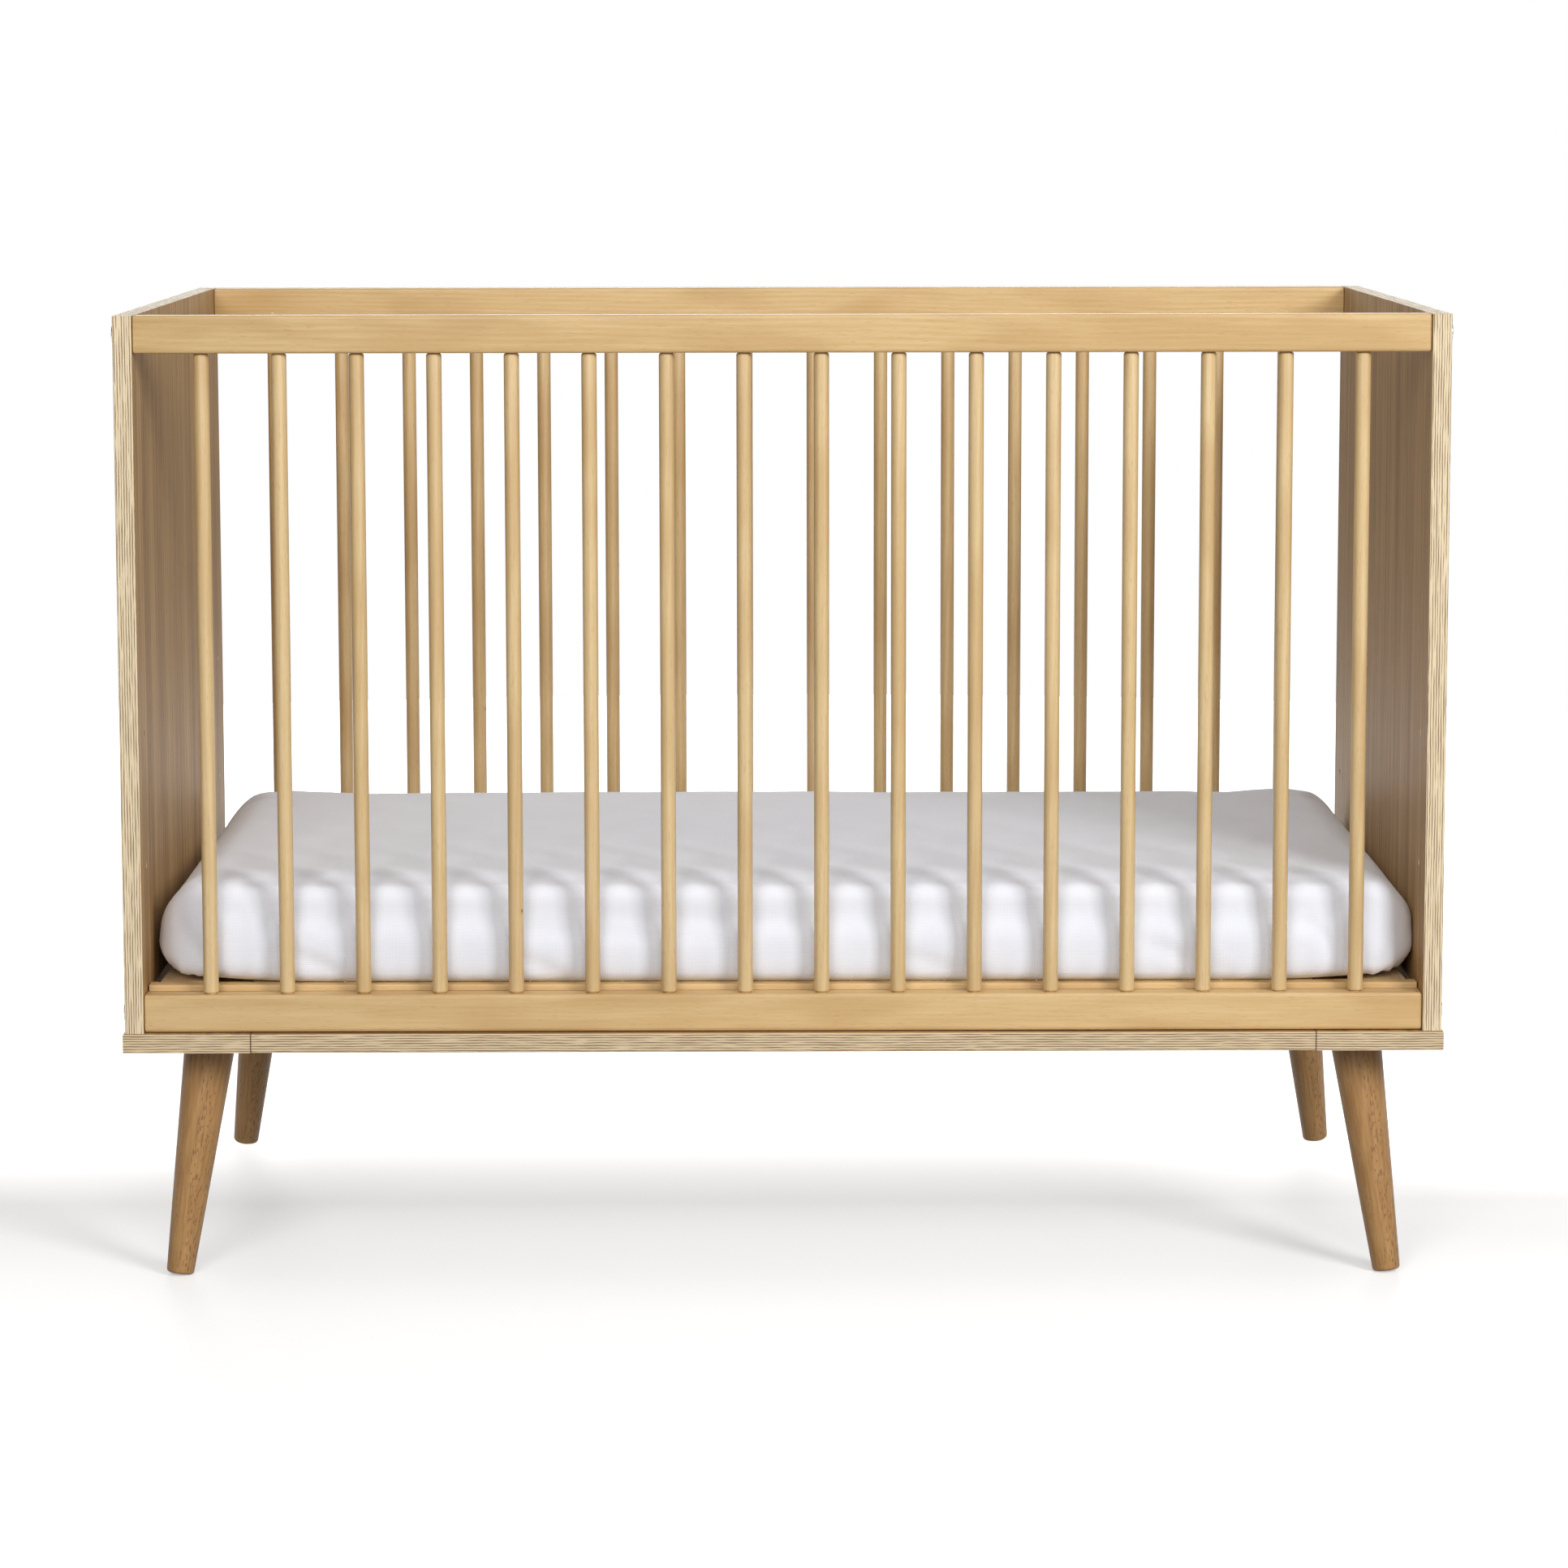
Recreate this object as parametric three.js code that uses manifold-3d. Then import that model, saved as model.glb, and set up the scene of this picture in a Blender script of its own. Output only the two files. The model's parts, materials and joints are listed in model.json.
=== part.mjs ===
// Baby crib: two end panels on a board frame with splayed turned legs, two spindle sides,
// and a slatted mattress base that hooks over bolts at one of three heights.
// Millimetres, +Z up, +X along the length, -Y to the front. The origin is on the floor, below the middle.
import * as THREE from "three";
import { mergeVertices } from "three/addons/utils/BufferGeometryUtils.js";
import Module from "manifold-3d";

const wasm = await Module();
wasm.setup();

// ---- Driving dimensions ----

// Whole crib
const panelSpan = 1240;          // over the outer faces of the two end panels
const panelDepth = 660;          // front edge to back edge of an end panel
const cribHeight = 920;          // floor to the top of the panels and upper rails
const panelThickness = 18;
const seatGap = 0.3;             // between two pieces that bear on each other

// Base boards
const legRise = 227;             // floor to the underside of the base boards
const boardThickness = 18;
const boardOverhang = 2;         // boards stand out past the panels, all round
const endBoardWidth = 120;
const longBoardWidth = 100;
const edgeEase = 1;              // small rounding on board and panel edges

// Side rails
const railHeight = 35;
const railThickness = 25;
const railSetback = 3;           // rail face behind the panel's edge
const railLift = 1;              // air between the lower rail and the base board
const railRounding = 2.5;

// Spindles
const spindleCount = 16;
const spindleDiameter = 15;
const spindleEndInset = 62;      // panel's inner face to the first spindle's centre
const shoulderRounding = 2.5;
const tenonDiameter = 10;
const tenonLength = 14;
const tenonClearance = 0.3;      // all round the tenon and at its end

// Legs
const legTopDiameter = 49.5;
const legFootDiameter = 26;
const legSplay = 7.5;            // degrees outwards, both lengthways and sideways
const footInsetX = 41;           // panel's outer face to the middle of the foot
const footInsetY = 53;           // panel's front or back edge to the middle of the foot
const footRounding = 3;
const footFlat = 0.6;            // height sanded off the tipped foot, so that it stands on a flat

// Bolts
const boltDiameter = 6;
const boltClearance = 0.4;       // all round a bolt in its bore
const boltHeadDiameter = 17;
const boltHeadHeight = 1.6;
const railBoltReach = 34;        // past the panel's inner face, into the rail
const supportBoltReach = 13;     // past the panel's inner face, under the mattress base
const supportBoltLift = 30;      // lowest support bolt above the base boards
const supportHeightStep = 125;
const supportHeightCount = 3;
const boreExtra = 2;             // empty bore past a bolt's end

// Mattress base
const baseRailThickness = 18;
const baseRailHeight = 34;
const baseRailRise = 11;         // top of the mattress base above the axis of its support bolts
const baseEndPlay = 1.5;         // to each end panel
const baseSidePlay = 2.5;        // to each side rail
const hookClearance = 0.5;       // each side of the slot that drops over a support bolt
const hookDepth = 16;
const slatCount = 14;
const slatWidth = 42;
const slatThickness = 10;
const slatEndInset = 7.5;        // end of the frame to the first slat's edge

// Mattress
const mattressThickness = 95;
const mattressEndPlay = 14;      // left over along the crib, both ends together
const mattressShift = 4;         // it lies a little to the right of the middle
const mattressSidePlay = 4.5;    // to each side rail
const mattressCorner = 30;       // rounding of its corners seen from above
const mattressEdge = 14;         // chamfer of its long edges

// Facets of the round pieces
const spindleSides = 10;
const legSides = 20;
const boltSides = 8;
const filletSteps = 2;

// ---- Places that follow from them ----

const panelInnerX = panelSpan / 2 - panelThickness;
const boardTopZ = legRise + boardThickness;
const panelBottomZ = boardTopZ + seatGap;
const railLength = 2 * (panelInnerX - seatGap);
const railCentreY = panelDepth / 2 - railSetback - railThickness / 2;
const railInnerY = railCentreY - railThickness / 2;
const lowerRailZ = boardTopZ + railLift + railHeight / 2;
const upperRailZ = cribHeight - railHeight / 2;
const boreDiameter = boltDiameter + 2 * boltClearance;
const hookWidth = boltDiameter + 2 * hookClearance;
const supportBoltZ = boardTopZ + supportBoltLift;
const baseHalfWidth = railInnerY - baseSidePlay;
const baseRailY = baseHalfWidth - baseRailThickness / 2;
const baseTopZ = supportBoltZ + baseRailRise;
const baseLength = 2 * (panelInnerX - baseEndPlay);

// ---- Solids ----

function toSolid(geometry) {
  const bare = geometry.index ? geometry.toNonIndexed() : geometry.clone();
  bare.deleteAttribute("normal");
  bare.deleteAttribute("uv");
  const merged = mergeVertices(bare, 1e-4);
  return new wasm.Manifold(new wasm.Mesh({
    numProp: 3,
    vertProperties: new Float32Array(merged.attributes.position.array),
    triVerts: new Uint32Array(merged.index.array),
  }));
}

function toGeometry(solid) {
  const mesh = solid.getMesh();
  const geometry = new THREE.BufferGeometry();
  geometry.setAttribute("position", new THREE.BufferAttribute(new Float32Array(mesh.vertProperties), 3));
  geometry.setIndex(new THREE.BufferAttribute(new Uint32Array(mesh.triVerts), 1));
  geometry.computeVertexNormals();
  return geometry;
}

function cut(geometry, tools) {
  return toGeometry(tools.reduce((solid, tool) => solid.subtract(toSolid(tool)), toSolid(geometry)));
}

// A rectangle with rounded corners, in the shape's own X and Y.
function roundedRectangle(width, height, radius) {
  const x = width / 2;
  const y = height / 2;
  const shape = new THREE.Shape();
  shape.moveTo(-x + radius, -y);
  shape.lineTo(x - radius, -y);
  shape.absarc(x - radius, -y + radius, radius, -Math.PI / 2, 0);
  shape.lineTo(x, y - radius);
  shape.absarc(x - radius, y - radius, radius, 0, Math.PI / 2);
  shape.lineTo(-x + radius, y);
  shape.absarc(-x + radius, y - radius, radius, Math.PI / 2, Math.PI);
  shape.lineTo(-x, -y + radius);
  shape.absarc(-x + radius, -y + radius, radius, Math.PI, 1.5 * Math.PI);
  return shape;
}

// A bar of rounded section that runs along X, centred on the origin: width along Y, height along Z.
function barAlongX(length, width, height, radius, steps = filletSteps) {
  const bar = new THREE.ExtrudeGeometry(roundedRectangle(width, height, radius), {
    depth: length, bevelEnabled: false, curveSegments: steps,
  });
  bar.translate(0, 0, -length / 2);
  bar.rotateX(Math.PI / 2);
  return bar.rotateZ(Math.PI / 2);
}

function barAlongY(length, width, height, radius, steps = filletSteps) {
  return barAlongX(length, width, height, radius, steps).rotateZ(Math.PI / 2);
}

function barAlongZ(length, width, depth, radius, steps = filletSteps) {
  const bar = new THREE.ExtrudeGeometry(roundedRectangle(width, depth, radius), {
    depth: length, bevelEnabled: false, curveSegments: steps,
  });
  return bar.translate(0, 0, -length / 2);
}

function rodAlongX(diameter, length, sides) {
  return new THREE.CylinderGeometry(diameter / 2, diameter / 2, length, sides).rotateZ(Math.PI / 2);
}

function rodAlongZ(diameter, length, sides) {
  return new THREE.CylinderGeometry(diameter / 2, diameter / 2, length, sides).rotateX(Math.PI / 2);
}

// A lathe profile of [radius, height] pairs, turned about Z.
function turned(profile, sides) {
  const points = profile.map(([radius, height]) => new THREE.Vector2(radius, height));
  return new THREE.LatheGeometry(points, sides).rotateX(Math.PI / 2);
}

// ---- The group and its materials ----

function finish(color, roughness, metalness = 0) {
  return () => new THREE.MeshStandardMaterial({ color, roughness, metalness });
}

const oakBoard = finish(0xc9b693, 0.6);
const beech = finish(0xd2a871, 0.42);
const legBeech = finish(0xc3a276, 0.5);
const slatWood = finish(0xd8b98a, 0.65);
const steel = finish(0xb9bcc0, 0.35, 1);
const sheetCotton = finish(0xf1f1f3, 0.9);

const crib = new THREE.Group();

function add(name, geometry, material, x = 0, y = 0, z = 0) {
  const mesh = new THREE.Mesh(geometry, material());
  mesh.name = name;
  mesh.position.set(x, y, z);
  crib.add(mesh);
}

const ends = [["left", -1], ["right", 1]];
const sides = [["front", -1], ["back", 1]];

// ---- Base boards ----

function addBaseBoards() {
  const boardDepth = panelDepth + 2 * boardOverhang;
  const endX = panelSpan / 2 + boardOverhang - endBoardWidth / 2;
  const longLength = 2 * (endX - endBoardWidth / 2 - seatGap);
  const longY = boardDepth / 2 - longBoardWidth / 2;
  const z = legRise + boardThickness / 2;
  for (const [end, side] of ends) {
    add(`base_board_${end}`, barAlongY(boardDepth, endBoardWidth, boardThickness, edgeEase, 1),
      oakBoard, side * endX, 0, z);
  }
  for (const [face, side] of sides) {
    add(`base_board_${face}`, barAlongX(longLength, longBoardWidth, boardThickness, edgeEase, 1),
      oakBoard, 0, side * longY, z);
  }
}

// ---- End panels ----

function supportHeights() {
  return Array.from({ length: supportHeightCount }, (_, i) => supportBoltZ + i * supportHeightStep);
}

function addEndPanels() {
  const height = cribHeight - panelBottomZ;
  const middleZ = panelBottomZ + height / 2;
  for (const [end, side] of ends) {
    const bores = [];
    for (const [, face] of sides) {
      for (const z of supportHeights()) {
        bores.push([face * baseRailY, z]);
      }
      bores.push([face * railCentreY, lowerRailZ], [face * railCentreY, upperRailZ]);
    }
    const tools = bores.map(([y, z]) =>
      rodAlongX(boreDiameter, 2 * panelThickness, boltSides).translate(0, y, z - middleZ));
    const board = barAlongZ(height, panelThickness, panelDepth, edgeEase, 1);
    add(`end_panel_${end}`, cut(board, tools), oakBoard,
      side * (panelInnerX + panelThickness / 2), 0, middleZ);
  }
}

// ---- Side rails and spindles ----

function spindleXs() {
  const first = -(panelInnerX - spindleEndInset);
  const pitch = -2 * first / (spindleCount - 1);
  return Array.from({ length: spindleCount }, (_, i) => first + i * pitch);
}

// A rail with a socket for each tenon in its upper (up = 1) or lower (up = -1) face,
// and a bore for a bolt in each end.
function railGeometry(up) {
  const socketDepth = tenonLength + tenonClearance;
  const sockets = spindleXs().map((x) =>
    rodAlongZ(tenonDiameter + 2 * tenonClearance, 2 * socketDepth, spindleSides)
      .translate(x, 0, up * railHeight / 2));
  const boreLength = 2 * (railBoltReach + boreExtra - seatGap);
  const bores = ends.map(([, side]) =>
    rodAlongX(boreDiameter, boreLength, boltSides).translate(side * railLength / 2, 0, 0));
  return cut(barAlongX(railLength, railThickness, railHeight, railRounding), [...sockets, ...bores]);
}

function spindleGeometry() {
  const low = lowerRailZ + railHeight / 2 + seatGap;
  const high = upperRailZ - railHeight / 2 - seatGap;
  const tenon = tenonDiameter / 2;
  const body = spindleDiameter / 2;
  const reach = tenonLength - seatGap;
  return turned([
    [0, low - reach], [tenon, low - reach], [tenon, low], [body, low + shoulderRounding],
    [body, high - shoulderRounding], [tenon, high], [tenon, high + reach], [0, high + reach],
  ], spindleSides);
}

function addSides() {
  for (const [face, side] of sides) {
    const y = side * railCentreY;
    add(`${face}_lower_rail`, railGeometry(1), beech, 0, y, lowerRailZ);
    add(`${face}_upper_rail`, railGeometry(-1), beech, 0, y, upperRailZ);
    spindleXs().forEach((x, i) => {
      add(`${face}_spindle_${String(i + 1).padStart(2, "0")}`, spindleGeometry(), beech, x, y, 0);
    });
  }
}

// ---- Legs ----

// A taper that leans outwards and forwards, its foot square to its own axis, cut level
// under the base board and touched flat where the foot's lowest edge meets the floor.
function legGeometry(outX, outY) {
  const lean = Math.tan(THREE.MathUtils.degToRad(legSplay));
  const axis = new THREE.Vector3(-outX * lean, -outY * lean, 1);
  const stretch = axis.length();
  axis.normalize();
  const footRadius = legFootDiameter / 2;
  const topRadius = legTopDiameter / 2;
  const tip = Math.sqrt(1 - axis.z * axis.z);
  const footZ = (footRadius - footRounding) * tip + footRounding * (1 - axis.z) - footFlat;
  const length = (legRise - footZ) * stretch + topRadius;
  const taper = (topRadius - footRadius) / (legRise * stretch);
  const arc = Array.from({ length: filletSteps + 1 }, (_, i) => {
    const angle = (i / filletSteps) * Math.PI / 2;
    return [
      footRadius - footRounding + footRounding * Math.sin(angle),
      footRounding - footRounding * Math.cos(angle),
    ];
  });
  const leg = turned([[0, 0], ...arc, [footRadius + taper * length, length], [0, length]], legSides);
  const turn = new THREE.Quaternion().setFromUnitVectors(new THREE.Vector3(0, 0, 1), axis);
  leg.applyQuaternion(turn);
  leg.translate(0, 0, footZ);
  const room = 4 * legRise;
  const above = new THREE.BoxGeometry(room, room, room).translate(0, 0, legRise - seatGap + room / 2);
  const below = new THREE.BoxGeometry(room, room, room).translate(0, 0, -room / 2);
  return cut(leg, [above, below]);
}

function addLegs() {
  for (const [face, outY] of sides) {
    for (const [end, outX] of ends) {
      add(`leg_${face}_${end}`, legGeometry(outX, outY), legBeech,
        outX * (panelSpan / 2 - footInsetX), outY * (panelDepth / 2 - footInsetY), 0);
    }
  }
}

// ---- Bolts ----

// A furniture bolt with a wide flat head, its shank pointing along +X from the head's seat at x = 0.
function boltGeometry(shankLength) {
  return turned([
    [0, -boltHeadHeight], [boltHeadDiameter / 2 - boltHeadHeight / 2, -boltHeadHeight],
    [boltHeadDiameter / 2, -boltHeadHeight / 2], [boltHeadDiameter / 2, 0],
    [boltDiameter / 2, 0], [boltDiameter / 2, shankLength], [0, shankLength],
  ], boltSides).rotateY(Math.PI / 2);
}

function addBolt(name, reach, side, y, z) {
  const bolt = boltGeometry(seatGap + panelThickness + reach);
  if (side > 0) bolt.rotateZ(Math.PI);
  add(name, bolt, steel, side * (panelSpan / 2 + seatGap), y, z);
}

function addBolts() {
  for (const [face, outY] of sides) {
    for (const [end, outX] of ends) {
      addBolt(`${face}_lower_bolt_${end}`, railBoltReach, outX, outY * railCentreY, lowerRailZ);
      addBolt(`${face}_upper_bolt_${end}`, railBoltReach, outX, outY * railCentreY, upperRailZ);
      addBolt(`support_bolt_${face}_${end}`, supportBoltReach, outX, outY * baseRailY, supportBoltZ);
    }
  }
}

// ---- Mattress base ----

// Two long rails with cross slats let into them. A slot in each rail end, open below,
// hooks over a support bolt, so the frame lifts straight up.
function addMattressBase() {
  const slatLength = 2 * (baseHalfWidth - baseRailThickness / 2);
  const slatZ = baseTopZ - slatThickness / 2;
  const railZ = baseTopZ - baseRailHeight / 2;
  const firstX = -(baseLength / 2 - slatEndInset - slatWidth / 2);
  const pitch = -2 * firstX / (slatCount - 1);
  let frame = null;
  for (const [, side] of sides) {
    const rail = new THREE.BoxGeometry(baseLength, baseRailThickness, baseRailHeight);
    const solid = toSolid(rail.translate(0, side * baseRailY, railZ));
    frame = frame ? frame.add(solid) : solid;
  }
  for (let i = 0; i < slatCount; i += 1) {
    const slat = new THREE.BoxGeometry(slatWidth, slatLength, slatThickness);
    frame = frame.add(toSolid(slat.translate(firstX + i * pitch, 0, slatZ)));
  }
  const crown = supportBoltZ + boltDiameter / 2 + seatGap - hookWidth / 2;
  const reach = 2 * (hookDepth + baseEndPlay);
  for (const [, outX] of ends) {
    for (const [, outY] of sides) {
      const drop = baseRailHeight;
      const mouth = new THREE.BoxGeometry(reach, hookWidth, drop).translate(0, 0, -drop / 2);
      for (const tool of [mouth, rodAlongX(hookWidth, reach, boltSides)]) {
        frame = frame.subtract(toSolid(tool.translate(outX * panelInnerX, outY * baseRailY, crown)));
      }
    }
  }
  add("mattress_base", toGeometry(frame), slatWood);
}

// ---- Mattress ----

function addMattress() {
  const length = 2 * panelInnerX - mattressEndPlay;
  const width = 2 * (railInnerY - mattressSidePlay);
  const outline = roundedRectangle(length - 2 * mattressEdge, width - 2 * mattressEdge,
    mattressCorner - mattressEdge);
  const pad = new THREE.ExtrudeGeometry(outline, {
    depth: mattressThickness - 2 * mattressEdge, curveSegments: filletSteps, bevelEnabled: true,
    bevelThickness: mattressEdge, bevelSize: mattressEdge, bevelSegments: 1,
  });
  pad.translate(0, 0, mattressEdge);
  add("mattress", toGeometry(toSolid(pad)), sheetCotton, mattressShift, 0, baseTopZ + seatGap);
}

addBaseBoards();
addEndPanels();
addSides();
addLegs();
addBolts();
addMattressBase();
addMattress();

export default crib;
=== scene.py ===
# %% [markdown]
# # A baby crib
# A crib like this comes off the bench as about eighty pieces: two solid end panels that stand on a
# ring of base boards, two long sides of turned spindles between rails, four splayed legs, a slatted
# mattress base that hangs on four bolts, and a foam mattress in a fitted jersey sheet.
# The measured frame is loaded first. It says where every piece is, in metres, and it never changes:
# flat boards keep their frame shape and get a finish, and everything turned, rounded or soft is
# modelled here in more detail and stands for its plain frame piece.

# %% Load the frame
import json
import math

import bmesh
import bpy
from mathutils import Matrix, Vector, noise

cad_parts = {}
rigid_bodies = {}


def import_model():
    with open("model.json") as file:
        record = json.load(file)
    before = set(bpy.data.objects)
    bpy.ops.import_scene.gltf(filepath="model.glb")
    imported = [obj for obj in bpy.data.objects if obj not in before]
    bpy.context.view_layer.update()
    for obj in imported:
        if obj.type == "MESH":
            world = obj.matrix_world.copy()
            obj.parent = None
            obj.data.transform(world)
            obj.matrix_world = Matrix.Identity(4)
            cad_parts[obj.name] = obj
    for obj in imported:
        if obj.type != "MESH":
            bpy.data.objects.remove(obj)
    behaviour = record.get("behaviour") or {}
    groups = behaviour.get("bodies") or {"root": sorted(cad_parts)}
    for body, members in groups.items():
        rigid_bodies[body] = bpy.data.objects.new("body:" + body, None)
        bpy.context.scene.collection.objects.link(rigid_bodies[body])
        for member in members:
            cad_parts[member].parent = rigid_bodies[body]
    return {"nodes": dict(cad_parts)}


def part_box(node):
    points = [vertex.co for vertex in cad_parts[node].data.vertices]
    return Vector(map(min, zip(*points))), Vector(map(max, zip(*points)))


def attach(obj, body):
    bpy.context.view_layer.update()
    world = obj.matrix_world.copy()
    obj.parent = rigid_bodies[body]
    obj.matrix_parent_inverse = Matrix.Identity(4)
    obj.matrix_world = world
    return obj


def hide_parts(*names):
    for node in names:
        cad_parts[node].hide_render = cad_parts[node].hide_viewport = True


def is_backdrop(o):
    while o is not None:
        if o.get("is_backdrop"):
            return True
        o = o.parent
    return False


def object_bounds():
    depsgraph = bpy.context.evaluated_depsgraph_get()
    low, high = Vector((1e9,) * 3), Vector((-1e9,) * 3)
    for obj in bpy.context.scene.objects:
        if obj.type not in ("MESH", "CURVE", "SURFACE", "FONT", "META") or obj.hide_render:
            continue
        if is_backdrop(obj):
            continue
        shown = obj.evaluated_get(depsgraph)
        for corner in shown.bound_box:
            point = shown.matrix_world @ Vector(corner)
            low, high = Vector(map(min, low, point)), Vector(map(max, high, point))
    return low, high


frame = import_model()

frame_low, frame_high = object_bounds()
print("frame box", [round(v, 3) for v in (*frame_low, *frame_high)])

# %% [markdown]
# ## Camera
# A catalogue view of a crib is taken from the front with a long lens, a little above the rails. The
# camera looks down a little, and a small lens shift keeps the upright edges nearly parallel. It could
# stand level with a larger shift, but then other views of the crib would leave the picture.

# %% Camera
CAMERA_PLACE = (-0.0222, -4.475, 1.109)
CAMERA_DOWN = 6.60          # degrees below level
CAMERA_TURN = 0.318         # degrees towards the right
CAMERA_ROLL = 0.08
LENS = 102.8
LENS_RISE = -0.10

camera = bpy.data.objects.new("camera", bpy.data.cameras.new("camera"))
bpy.context.scene.collection.objects.link(camera)
camera.location = CAMERA_PLACE
tilt = Matrix.Rotation(math.radians(90 - CAMERA_DOWN), 4, "X")
turn = Matrix.Rotation(math.radians(-CAMERA_TURN), 4, "Z")
roll = Matrix.Rotation(math.radians(-CAMERA_ROLL), 4, "Z")
camera.rotation_euler = (turn @ tilt @ roll).to_euler()
camera.data.lens = LENS
camera.data.shift_y = LENS_RISE
bpy.context.scene.camera = camera
print("camera", camera.location[:], "lens", LENS)

# %% [markdown]
# ## Sky and light
# Such a piece is shown in a white room. The sky looks pure white to the camera and gives only a weak
# light itself, because a strong one would flatten every shape.
# Two large soft lights stand in front: the stronger one on the right throws the legs' shadows back
# and to the left, and the weaker one on the left fills the shadows between the spindles. A wide one
# behind the camera softens every shadow, one hangs overhead and lights the mattress, and a weak one
# behind the crib keeps its back readable.

# %% White sky
SKY_LIGHT = 0.12

sky = bpy.data.worlds.new("studio")
bpy.context.scene.world = sky
sky.use_nodes = True
sky_nodes = sky.node_tree.nodes
sky_links = sky.node_tree.links
seen = sky_nodes.new("ShaderNodeLightPath")
bright = sky_nodes.new("ShaderNodeMath")
bright.operation = "MAXIMUM"
bright.inputs[1].default_value = SKY_LIGHT
sky_links.new(seen.outputs["Is Camera Ray"], bright.inputs[0])
sky_nodes["Background"].inputs["Color"].default_value = (1, 1, 1, 1)
sky_links.new(bright.outputs[0], sky_nodes["Background"].inputs["Strength"])
bpy.context.scene.view_settings.view_transform = "Standard"
print("sky light", SKY_LIGHT)


# %% Five soft lights
def add_softbox(name, place, target, width, height, power):
    """A flat light that faces a target."""
    lamp = bpy.data.lights.new(name, "AREA")
    lamp.shape = "RECTANGLE"
    lamp.size = width
    lamp.size_y = height
    lamp.energy = power
    box = bpy.data.objects.new(name, lamp)
    bpy.context.scene.collection.objects.link(box)
    box.location = place
    box.rotation_euler = (Vector(target) - Vector(place)).to_track_quat("-Z", "Y").to_euler()
    return box


add_softbox("key_right", (3.1, -3.9, 2.8), (0, 0, 0.6), 1.6, 1.9, 150)
add_softbox("fill_left", (-1.7, -4.8, 2.7), (0, 0, 0.6), 1.7, 1.9, 60)
add_softbox("front_wash", (0, -6.3, 3.0), (0, 0, 0.5), 4.0, 3.0, 150)
add_softbox("overhead", (0, -0.2, 3.4), (0, 0, 0), 4.0, 1.6, 16)
add_softbox("back_fill", (0, 4.6, 2.0), (0, 0, 0.4), 3.6, 1.8, 60)

# %% [markdown]
# ## Finishes as sums
# Wood and cloth are patterns built from a few noises. Wiring them by hand is slow to read, so one
# small class wraps a node's output and lets Python's own signs add the Math nodes: 1 - mask is a
# Subtract node. Every other node comes from one method of the finish.


# %% The two classes that write materials
class Field:
    """A node's output that Python's signs can work on."""

    def __init__(self, finish, socket):
        self.finish = finish
        self.socket = socket

    def math(self, operation, *values):
        return self.finish.math(operation, self, *values)

    def __add__(self, other):
        return self.math("ADD", other)

    def __sub__(self, other):
        return self.math("SUBTRACT", other)

    def __rsub__(self, other):
        return self.finish.math("SUBTRACT", other, self)

    def __mul__(self, other):
        return self.math("MULTIPLY", other)

    def __gt__(self, other):
        return self.math("GREATER_THAN", other)

    __radd__ = __add__
    __rmul__ = __mul__


class Finish:
    """A material, and the ways its nodes are added."""

    def __init__(self, name, **constants):
        self.material = bpy.data.materials.new(name)
        self.material.use_nodes = True
        self.tree = self.material.node_tree
        self.shader = self.tree.nodes["Principled BSDF"]
        for socket, value in constants.items():
            self.shader.inputs[socket.replace("_", " ")].default_value = value

    def node(self, kind, settings, inputs, output=0):
        made = self.tree.nodes.new(kind)
        for key, value in settings.items():
            if key == "stops":
                self.set_stops(made.color_ramp, value)
            else:
                setattr(made, key, value)
        for key, value in inputs.items():
            self.feed(made.inputs[key], value)
        return Field(self, made.outputs[output])

    def set_stops(self, ramp, stops):
        while len(ramp.elements) < len(stops):
            ramp.elements.new(0.5)
        for element, (position, colour) in zip(ramp.elements, stops):
            element.position = position
            element.color = (*colour, 1)

    def feed(self, socket, value):
        if isinstance(value, Field):
            self.tree.links.new(value.socket, socket)
        elif isinstance(value, tuple) and len(value) == 3 and len(socket.default_value) == 4:
            socket.default_value = (*value, 1)
        else:
            socket.default_value = value

    def math(self, operation, *values):
        return self.node("ShaderNodeMath", {"operation": operation}, dict(enumerate(values)))

    def parts(self, vector):
        """The three numbers of a vector."""
        first = self.node("ShaderNodeSeparateXYZ", {}, {0: vector})
        outputs = first.socket.node.outputs
        return [Field(self, socket) for socket in outputs]

    def vector(self, x, y, z):
        return self.node("ShaderNodeCombineXYZ", {}, {0: x, 1: y, 2: z})

    def place(self):
        return self.node("ShaderNodeTexCoord", {}, {}, "Object")

    def noise(self, vector, scale=1.0, detail=2.0, distortion=0.0):
        inputs = {"Vector": vector, "Scale": scale, "Detail": detail, "Distortion": distortion}
        return self.node("ShaderNodeTexNoise", {}, inputs)

    def step(self, value, low, high):
        """0 below low, 1 above high, and smooth between."""
        settings = {"interpolation_type": "SMOOTHSTEP"}
        return self.node("ShaderNodeMapRange", settings, {0: value, 1: low, 2: high})

    def ramp(self, value, *stops):
        return self.node("ShaderNodeValToRGB", {"stops": stops}, {0: value})

    def mix(self, share, first, second, blend="MIX"):
        settings = {"data_type": "RGBA", "blend_type": blend}
        return self.node("ShaderNodeMix", settings, {0: share, 6: first, 7: second}, 2)

    def finish(self, colour, roughness, height, depth):
        """Feeds the shader: a colour, a roughness, and a height that becomes bumps of that depth."""
        bump = self.node("ShaderNodeBump", {}, {"Height": height, "Distance": depth})
        self.feed(self.shader.inputs["Base Color"], colour)
        self.feed(self.shader.inputs["Roughness"], roughness)
        self.feed(self.shader.inputs["Normal"], bump)
        return self.material


print("classes ready:", Field.__name__, Finish.__name__)

# %% [markdown]
# ## White floor
# The floor is a flat round sheet. It glows, as an overexposed studio floor does, so that it melts into
# the white sky. The glow is weak in front and beside the crib, where the legs' shadows should stay, and
# strong behind it, where the whole crib's shadow would fall. It is painted on the floor by place, so it
# stays where it is when the camera moves.


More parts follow.
